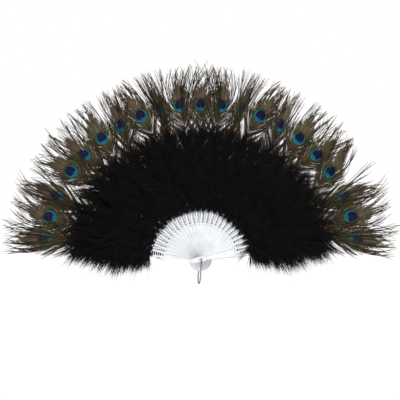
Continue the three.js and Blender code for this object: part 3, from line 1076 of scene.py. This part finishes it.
@dataclass
class EyeFeather:
    """A peacock tail feather bound into the tip of one stick's down, with its eye where it should stand.

    Feathers at the sides have a larger radius, are larger by side_growth, and by side_fullness have more
    barbs in the sets without a reach. Strays, in units of a set's scatter, curl or lift, are held within
    limits. The held share of the barbs keeps to its lock, and thinning and taper give the barbs' widths
    by the millimetres beyond the close length and by the share of the run.
    """

    spread: Spread
    index: int
    stand: Stand
    sets: tuple[BarbSet, ...] = (EYE_BARBS, FRINGE_BARBS, LOCK_BARBS, HERL_BARBS)
    seed: int = 5000
    base: float = 195.7
    top_radius: float = 240.0
    side_radius: float = 243.5
    sizes: Pair = (0.93, 1.01)
    side_growth: float = 0.08
    side_fullness: float = 0.34
    stations: int = 9
    half_depth: float = 0.12
    widths: Pair = (0.8, 1.15)
    thinning: Steps = ((-6.0, 0.0, 10.0, 40.0), (1.0, 0.95, 0.95, 0.9))
    taper: Steps = ((0.0, 0.1, 0.94, 1.0), (0.6, 1.0, 1.0, 0.5))
    lock_limit: float = 1.3
    barb_stray: float = 0.7
    barb_limit: float = 1.8
    held_share: float = 0.8
    hold: Pair = (0.3, 1.0)
    least_rise: float = 1.5
    curl_out: float = 0.2
    curl_stray: float = 0.6
    curl_limit: float = 1.6
    curl_room: float = 240.0
    lift_strays: Pair = (0.6, 0.8)
    raggedness: float = 0.6
    shaft_radius: float = 0.6
    shaft_end: float = 0.18
    shaft_foot: float = 8.0
    shaft_tip: float = 10.0
    shaft_depth: float = 0.45
    shaft_overlap: float = 0.25
    shaft_stations: int = 12
    shaft_sides: int = 6
    sway: float = 5.0
    sway_length: float = 50.0
    gather_power: int = 3
    lift_power: float = 1.5
    room: float = 22.0
    keep: float = 0.06

    def set_paths(
        self, barbs: BarbSet, side: Side, rng: np.random.Generator
    ) -> tuple[np.ndarray, np.ndarray]:
        """Paths of one set's barbs on one side of the flat feather, and their half widths.

        A barb turns from its lean to its end lean. Its free end curls outwards with the square of its
        length, ends of the same lock draw together with a power of the share of their run, and barbs
        lift with another.

        Args:
            barbs: The set.
            side: The side of the shaft.
            rng: The source of variation.

        Returns:
            Points (across, depth, along) from the eye's centre and half widths, by barb and station.
        """
        count, step = barbs.count, np.linspace(0.0, 1.0, self.stations)
        even = (np.arange(count) + rng.uniform(0.0, 1.0, count)) / count * barbs.locks
        lock = np.floor(even).astype(int)
        share = ((lock + 0.5 + (even - lock - 0.5) * barbs.bunch) / barbs.locks) ** barbs.crowding
        stray = np.clip(rng.normal(0.0, 1.0, barbs.locks), -self.lock_limit, self.lock_limit)[lock]
        held = rng.uniform(*self.hold, barbs.locks)[lock] * (rng.uniform(0.0, 1.0, count) < self.held_share)
        turn = stray + rng.normal(0.0, self.barb_stray, count)
        turn = barbs.scatter * np.clip(turn, -self.barb_limit, self.barb_limit)
        lean = np.radians(between(barbs.leans, share) + turn / 2.0)
        end_lean = np.radians(between(barbs.end_leans, share) + turn)
        close, root, zero = between(barbs.close, share), between(barbs.roots, share), np.zeros(count)
        length = close + rng.uniform(*barbs.loose, count)
        if barbs.reach is not None:
            rise = np.maximum(np.cos(lean) + np.cos(end_lean), self.least_rise)
            length = 2.0 * (rng.uniform(*barbs.reach, count) - root) / rise
        roots = np.stack([zero - self.shaft_overlap * side.value, zero, root], axis=1)
        starts, ends = headings(side.value, lean, zero), headings(side.value, end_lean, zero)
        paths = bent_paths(roots, starts, ends, length, self.stations)
        beyond = length[:, None] * step - close[:, None]
        curl = self.curl_out * side.value + stray + rng.normal(0.0, self.curl_stray, count)
        curl = barbs.curl * np.clip(curl, -self.curl_limit, self.curl_limit)
        paths[:, :, 0] += curl[:, None] * np.maximum(beyond, 0.0) ** 2 / self.curl_room
        members = np.maximum(np.bincount(lock, minlength=barbs.locks), 1)
        middles = np.bincount(lock, paths[:, -1, 0], barbs.locks) / members
        pull = (middles[lock] - paths[:, -1, 0]) * held * barbs.gather
        paths[:, :, 0] += pull[:, None] * step**self.gather_power
        lift = self.lift_strays[0] * stray + rng.normal(0.0, self.lift_strays[1], count)
        paths[:, :, 1] += (barbs.lift[0] + barbs.lift[1] * lift)[:, None] * step**self.lift_power
        width = np.interp(beyond, *self.thinning) * np.interp(step, *self.taper)
        return paths, width * barbs.half_width * rng.uniform(*self.widths, (count, 1))

    def lay(self, flat: np.ndarray) -> np.ndarray:
        """Carries points on the flat feather to the fan's frame.

        The feather is turned about its shaft, pressed into its room, as room * tanh(depth / room), starts
        on its stick's axis and is tilted so that its eye stands at its own angle.

        Args:
            flat: Points as (across, depth, along) from the eye's centre.

        Returns:
            Points in the fan's frame.
        """
        across, beyond = self.eye_place()
        tilt = math.atan2(across, beyond)
        along = flat[..., 2] + math.hypot(across, beyond)
        turn = math.copysign(math.radians(self.stand.turn), self.stand.angle)
        wide = flat[..., 0] * math.cos(turn) - flat[..., 1] * math.sin(turn)
        deep = flat[..., 1] * math.cos(turn) + flat[..., 0] * math.sin(turn)
        deep = self.room * np.tanh(deep / self.room)
        out = wide * math.cos(tilt) + along * math.sin(tilt)
        up = self.base + along * math.cos(tilt) - wide * math.sin(tilt)
        return self.spread.place(self.index, np.stack([out, deep, up], axis=-1))

    def eye_place(self) -> tuple[float, float]:
        """How far the eye's centre lies across its stick and beyond the foot of the feather.

        Returns:
            Millimetres across and beyond.
        """
        offset = math.radians(self.stand.angle - self.spread.angle(self.index))
        radius = self.top_radius + (self.side_radius - self.top_radius) * self.stand.sideways
        return radius * math.sin(offset), radius * math.cos(offset) - self.base

    def shaft(self) -> tuple[np.ndarray, np.ndarray]:
        """The shaft on the flat feather, a round rod behind the barbs that thins from the stick to the eye.

        Returns:
            Vertices and triangles.
        """
        foot = -math.hypot(*self.eye_place()) - self.shaft_foot
        height = np.linspace(foot, self.shaft_tip, self.shaft_stations)
        line = np.stack([np.zeros_like(height), np.full_like(height, self.shaft_depth), height], axis=1)
        radius = np.linspace(self.shaft_radius, self.shaft_end, self.shaft_stations)[None]
        return carry_profile(line[None], circle(self.shaft_sides), radius, radius, np.array([FORWARDS]))

    def build(self, herl: PeacockHerl, herl_material: Material, shaft_material: Material) -> Object:
        """Builds the feather and sets it on its stick's body.

        A feather of the right half is the mirror image of its twin on the left, as they were laid out.

        Args:
            herl: The barbs' finish, which lays out the UV map.
            herl_material: The barbs' material.
            shaft_material: The shaft's material.

        Returns:
            The piece.
        """
        twin = max(self.index, 2 * self.spread.middle - self.index)
        rng = np.random.default_rng(self.seed + twin)
        mirror = -math.copysign(1.0, self.stand.angle)
        fullness = 1.0 + self.side_fullness * self.stand.sideways
        fuller = [replace(barbs, count=round(barbs.count * fullness)) for barbs in self.sets]
        sets = [barbs if barbs.reach else full for barbs, full in zip(self.sets, fuller)]
        plan = [(barbs, side) for barbs in sets for side in Side]
        plan += [(VEIL_BARBS, side) for side in self.stand.veil.value]
        plan += [(BRUSH_BARBS, side) for side in Side if self.stand.brushed]
        made = [self.set_paths(barbs, side, rng) for barbs, side in plan]
        paths = np.concatenate([path for path, _ in made]) * (mirror, 1.0, 1.0)
        width = np.concatenate([half for _, half in made])
        depth = np.full_like(width, self.half_depth)
        facing = np.tile(FORWARDS, (len(paths), 1))
        vertices, faces = carry_profile(paths, TRIANGLE, width, depth, facing)
        points = self.stations * len(TRIANGLE)
        ragged = np.repeat(rng.normal(0.0, self.raggedness, len(paths)), points)
        shade = [rng.uniform(*barbs.shades, barbs.count) for barbs, _ in plan]
        plain = np.concatenate([np.full(barbs.count * points, barbs.plain) for barbs, _ in plan])
        shaft, shaft_faces = self.shaft()
        flat = np.concatenate([vertices, shaft])
        shown = np.where(np.append(plain, np.zeros(len(shaft), dtype=bool)), herl.plain_side, flat[:, 0])
        uvs = herl.uv(shown, flat[:, 2] + np.append(ragged, np.zeros(len(shaft))))
        sway = mirror * rng.normal(0.0, self.sway)
        flat[:, 0] += sway * (np.maximum(flat[:, 2], 0.0) / self.sway_length) ** 2
        size = rng.uniform(*self.sizes) + self.side_growth * self.stand.sideways
        piece = add_piece(
            f"eye_feather_{self.index + 1:02d}",
            self.lay(flat * (size, 1.0, size)),
            np.concatenate([faces, shaft_faces + len(vertices)]),
            [herl_material, shaft_material],
            uvs,
            np.repeat((0, 1), (len(faces), len(shaft_faces))),
            np.append(np.repeat(np.concatenate(shade), points), np.ones(len(shaft))),
        )
        self.spread.flatten(piece, self.index, self.keep)
        return piece


@dataclass
class Pivot:
    """The hollow rivet with its domed head and rolled collar, and the washer under the collar."""

    bore: float = 1.25
    barrel: float = 1.9
    head_radius: float = 3.1
    head_seat: float = -13.175
    head_face: float = -14.375
    lip: float = 0.45
    ease: float = 0.15
    collar_radius: float = 2.7
    collar_seat: float = 13.925
    collar_back: float = 14.525
    washer_inner: float = 1.98
    washer_outer: float = 3.6
    washer_seat: float = 13.175
    washer_back: float = 13.775
    arc_steps: int = 9
    sides: int = 56

    def rivet_profile(self) -> np.ndarray:
        """The rivet's section: a rolled lip, a quarter-round dome, the barrel and a rolled collar.

        Returns:
            Radius and Y of each corner.
        """
        quarter = np.linspace(0.0, QUARTER, self.arc_steps)
        rolled = self.bore + self.lip
        inner = arc((rolled, self.head_face + self.lip), (-self.lip, -self.lip), quarter)
        rise = self.head_seat - self.head_face - self.ease
        flat = rolled + self.ease
        dome = arc((flat, self.head_face + rise), (self.head_radius - flat, rise), quarter - QUARTER)
        roll = (self.collar_back - self.collar_seat) / 2.0
        half = np.linspace(-QUARTER, QUARTER, self.arc_steps)
        collar = arc((self.collar_radius - roll, self.collar_seat + roll), (roll, roll), half)
        seat = (self.head_radius, self.head_seat)
        barrel = [seat, (self.barrel, self.head_seat), (self.barrel, self.collar_seat)]
        return np.concatenate([inner, dome, barrel, collar, [(self.bore, self.collar_back)]])

    def washer_profile(self) -> np.ndarray:
        """The washer's section, with its outer edges eased.

        Returns:
            Radius and Y of each corner.
        """
        return np.array([
            (self.washer_inner, self.washer_seat),
            (self.washer_outer - self.ease, self.washer_seat),
            (self.washer_outer, self.washer_seat + self.ease),
            (self.washer_outer, self.washer_back - self.ease),
            (self.washer_outer - self.ease, self.washer_back),
            (self.washer_inner, self.washer_back),
        ])

    def build(self, material: Material) -> list[Object]:
        """Builds the rivet and its washer.

        Args:
            material: The enamel.

        Returns:
            The two pieces.
        """
        made = []
        for name, profile in (("rivet", self.rivet_profile()), ("rivet_washer", self.washer_profile())):
            vertices, faces = turned(profile, self.sides)
            piece = add_piece(f"{name}_turned", vertices, faces, [material])
            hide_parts(name)
            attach(piece, "pivot")
            made.append(piece)
        return made


@dataclass
class WireLoop:
    """The wire loop that hangs from the rivet: two legs, a bow below the sticks and two bent ends."""

    wire_radius: float = 0.9
    length: float = 38.0
    bow_top: float = -19.9
    bend_radius: float = 1.5
    front_face: float = 14.375
    rear_face: float = 14.525
    end_depth: float = 1.0
    lean: float = 0.075
    twist: float = 0.03
    arc_steps: int = 17
    leg_steps: int = 8
    sides: int = 18

    def leg_route(self, face: float) -> np.ndarray:
        """Half of the route, from the bow's lowest point up to the rivet, as distance out and height.

        The bow is a quarter of an ellipse, the leg is straight, and a quarter circle turns it inwards.

        Args:
            face: Distance from the middle to the rivet's end.

        Returns:
            Points as rows of distance and height.
        """
        quarter = np.linspace(0.0, QUARTER, self.arc_steps)
        leg = face + self.bend_radius
        bow = arc((0.0, self.bow_top), (leg, self.length + self.bow_top), quarter - QUARTER)
        height = np.linspace(self.bow_top, -self.bend_radius, self.leg_steps)[1:-1]
        straight = np.stack([np.full_like(height, leg), height], axis=1)
        bend = arc((face, -self.bend_radius), (self.bend_radius, self.bend_radius), quarter)
        return np.concatenate([bow, straight, bend, [(face - self.end_depth, 0.0)]])

    def build(self, material: Material) -> Object:
        """Builds the loop, a little askew as handling leaves it, and hangs it on its body.

        Args:
            material: The wire's brass.

        Returns:
            The piece.
        """
        front = self.leg_route(self.front_face)[::-1] * (-1.0, 1.0)
        route = np.concatenate([front, self.leg_route(self.rear_face)[1:]])
        askew = route[:, 1] * (self.lean + self.twist * route[:, 0] / self.rear_face)
        path = np.stack([askew, route[:, 0], route[:, 1]], axis=1)[None]
        radius = np.full((1, len(route)), self.wire_radius)
        facing = np.array([(1.0, 0.0, 0.0)])
        vertices, faces = carry_profile(path, circle(self.sides), radius, radius, facing)
        piece = add_piece("wire_loop_bent", vertices, faces, [material])
        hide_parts("wire_loop")
        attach(piece, "loop")
        return piece


@dataclass
class SpacingTape:
    """The tape behind the sticks, in lengths from stick to stick, each on its outer stick's body."""

    spread: Spread
    radius: float = 150.0
    width: float = 5.0
    thickness: float = 0.3
    behind: float = 0.875
    sag: float = 0.6
    stations: int = 9
    keep: float = 0.02

    def build(self, material: Material) -> list[Object]:
        """Builds the lengths of tape.

        A length follows the arc from its outer stick to the next one in, and sags back between them as a
        half sine. It rides on its outer stick's body.

        Args:
            material: The woven tape.

        Returns:
            The pieces.
        """
        made = []
        middle = self.spread.middle
        share, sizes = np.linspace(0.0, 1.0, self.stations), np.ones((1, self.stations))
        half_width, half_depth = sizes * self.width / 2.0, sizes * self.thickness / 2.0
        facing = np.array([(0.0, 1.0, 0.0)])
        for outer in [index for index in range(self.spread.stick_count) if index != middle]:
            inner = outer + 1 if outer < middle else outer - 1
            angle = np.radians(self.spread.angle(outer) * (1.0 - share) + self.spread.angle(inner) * share)
            depth = self.spread.depth(outer) * (1.0 - share) + self.spread.depth(inner) * share
            back = depth + self.behind + self.sag * np.sin(np.pi * share)
            path = np.stack([self.radius * np.sin(angle), back, self.radius * np.cos(angle)], axis=1)[None]
            vertices, faces = carry_profile(path, SQUARE, half_width, half_depth, facing)
            piece = add_piece(f"spacing_tape_{outer + 1:02d}", vertices, faces, [material])
            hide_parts("spacing_tape")
            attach(piece, self.spread.body(outer))
            self.spread.joint(outer)
            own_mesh(piece)
            made.append(piece)
        return made


@dataclass(frozen=True)
class Lamp:
    """A square soft lamp: where it stands, its side and its power, in metres and watts."""

    name: str
    place: Triple
    size: float
    power: float

    def build(self, aim: Triple) -> None:
        """Sets up the lamp so that it faces a point.

        Args:
            aim: The point.
        """
        data = bpy.data.lights.new(self.name, "AREA")
        data.size = self.size
        data.energy = self.power
        lamp = bpy.data.objects.new(self.name, data)
        bpy.context.scene.collection.objects.link(lamp)
        lamp.location = self.place
        lamp.rotation_euler = (Vector(aim) - lamp.location).to_track_quat("-Z", "Y").to_euler()


@dataclass
class Studio:
    """A pale floor, soft lamps and the camera, in metres and degrees."""

    azimuth: float = -4.0
    distance: float = 3.2
    frame_width: float = 0.62
    aim: Triple = (-0.001, 0.0, 0.0915)
    sensor: float = 36.0
    floor_height: float = -0.25
    floor_half: float = 40.0
    ambient: float = 0.26
    lamps: tuple[Lamp, ...] = (
        Lamp("key_lamp", (1.2, -2.0, 2.1), 0.15, 49.5),
        Lamp("fill_lamp", (-0.4, -2.5, -0.1), 0.5, 20.5),
    )

    def camera(self) -> None:
        """Sets the camera level with the fan, a little to the left of its front."""
        data = bpy.data.cameras.new("camera")
        data.sensor_width = self.sensor
        data.lens = self.sensor * self.distance / self.frame_width
        camera = bpy.data.objects.new("camera", data)
        bpy.context.scene.collection.objects.link(camera)
        turn = math.radians(self.azimuth)
        back = Vector((math.sin(turn), -math.cos(turn), 0.0))
        camera.location = Vector(self.aim) + back * self.distance
        camera.rotation_euler = (-back).to_track_quat("-Z", "Y").to_euler()
        bpy.context.scene.camera = camera

    def world(self) -> None:
        """Fills the room with soft light and shows white behind the fan."""
        world = bpy.data.worlds.new("white_room")
        world.use_nodes = True
        tree = world.node_tree
        tree.nodes.clear()
        soft = add_node(tree, "Background", {"Color": linear(WHITE), "Strength": self.ambient})
        white = add_node(tree, "Background", {"Color": linear(WHITE), "Strength": 1.0})
        mix = add_node(tree, "MixShader", {0: seen(tree), 1: soft.outputs[0], 2: white.outputs[0]})
        add_node(tree, "OutputWorld", {"Surface": mix.outputs[0]})
        bpy.context.scene.world = world

    def floor(self) -> None:
        """Lays the floor, a square below the fan."""
        height = np.full(len(SQUARE), self.floor_height)
        corners = np.column_stack([SQUARE * self.floor_half, height])
        faces = np.array([(0, 1, 2), (0, 2, 3)])
        add_piece("floor", corners / METRES, faces, [PaperFloor().material()])

    def build(self) -> None:
        """Sets up the whole studio."""
        bpy.context.scene.view_settings.view_transform = "Standard"
        self.camera()
        self.world()
        self.floor()
        for lamp in self.lamps:
            lamp.build(self.aim)


@dataclass
class Fan:
    """The whole fan: the sticks, the down and eye feathers on them, the pivot, the loop and the tape."""

    spread: Spread
    stands: tuple[Stand, ...] = (
        Stand(82.8, 20.0, Veil.BOTH),
        Stand(74.4),
        Stand(66.4, 34.0, Veil.BOTH),
        Stand(56.0, 14.0),
        Stand(48.2),
        Stand(39.2, 12.0),
        Stand(30.6, 32.0, Veil.INNER),
        Stand(22.7),
        Stand(15.0, 58.0, Veil.BOTH, brushed=True),
        Stand(7.7, 8.0, Veil.INNER),
    )

    def eyes(self) -> dict[int, Stand]:
        """How the eyes stand, by the stick that each grows from, the one nearest to it.

        Returns:
            Stands by stick number, the left half's mirrored from the right half's.
        """
        found = {}
        left = [replace(right, angle=-right.angle) for right in self.stands]
        for stand in (*self.stands, Stand(0.0), *left):
            share = stand.angle / (self.spread.open_left if stand.angle < 0 else self.spread.open_right)
            nearest = round(self.spread.middle * (1.0 - share))
            found[min(max(nearest, 0), self.spread.last)] = stand
        return found

    def build(self, nodes: dict[str, Object]) -> list[str]:
        """Builds and dresses every piece.

        Args:
            nodes: The frame's objects by name.

        Returns:
            The pieces' names.
        """
        # The edges' greyer copy of the plastic is painted shade along each stick's edges.
        edge = MouldedPlastic("moulded_white_polystyrene_edge_shade", pale="#cfd2da", dull="#bdc1cb")
        made = Sticks(self.spread, MouldedPlastic(), edge).dress(nodes)
        down = DyedDown().material()
        herl = PeacockHerl()
        herl_material, shaft_material = herl.material(), FeatherShaft().material()
        eyes = self.eyes()
        for index in range(self.spread.stick_count):
            slot = "eyed_plume" if index in eyes else "black_down"
            made.append(Marabou(self.spread, index).build(down, slot).name)
        for index, stand in eyes.items():
            feather = EyeFeather(self.spread, index, stand)
            made.append(feather.build(herl, herl_material, shaft_material).name)
        made += [piece.name for piece in Pivot().build(WhiteEnamel().material())]
        made.append(WireLoop().build(BrassWire().material()).name)
        made += [piece.name for piece in SpacingTape(self.spread).build(WovenTape().material())]
        return made


def main() -> None:
    """Loads the frame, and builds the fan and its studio."""
    logging.basicConfig(level=logging.INFO, format="%(name)s: %(message)s")
    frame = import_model()
    Studio().build()
    for name in Fan(Spread()).build(frame["nodes"]):
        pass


if __name__ == "__main__":
    main()
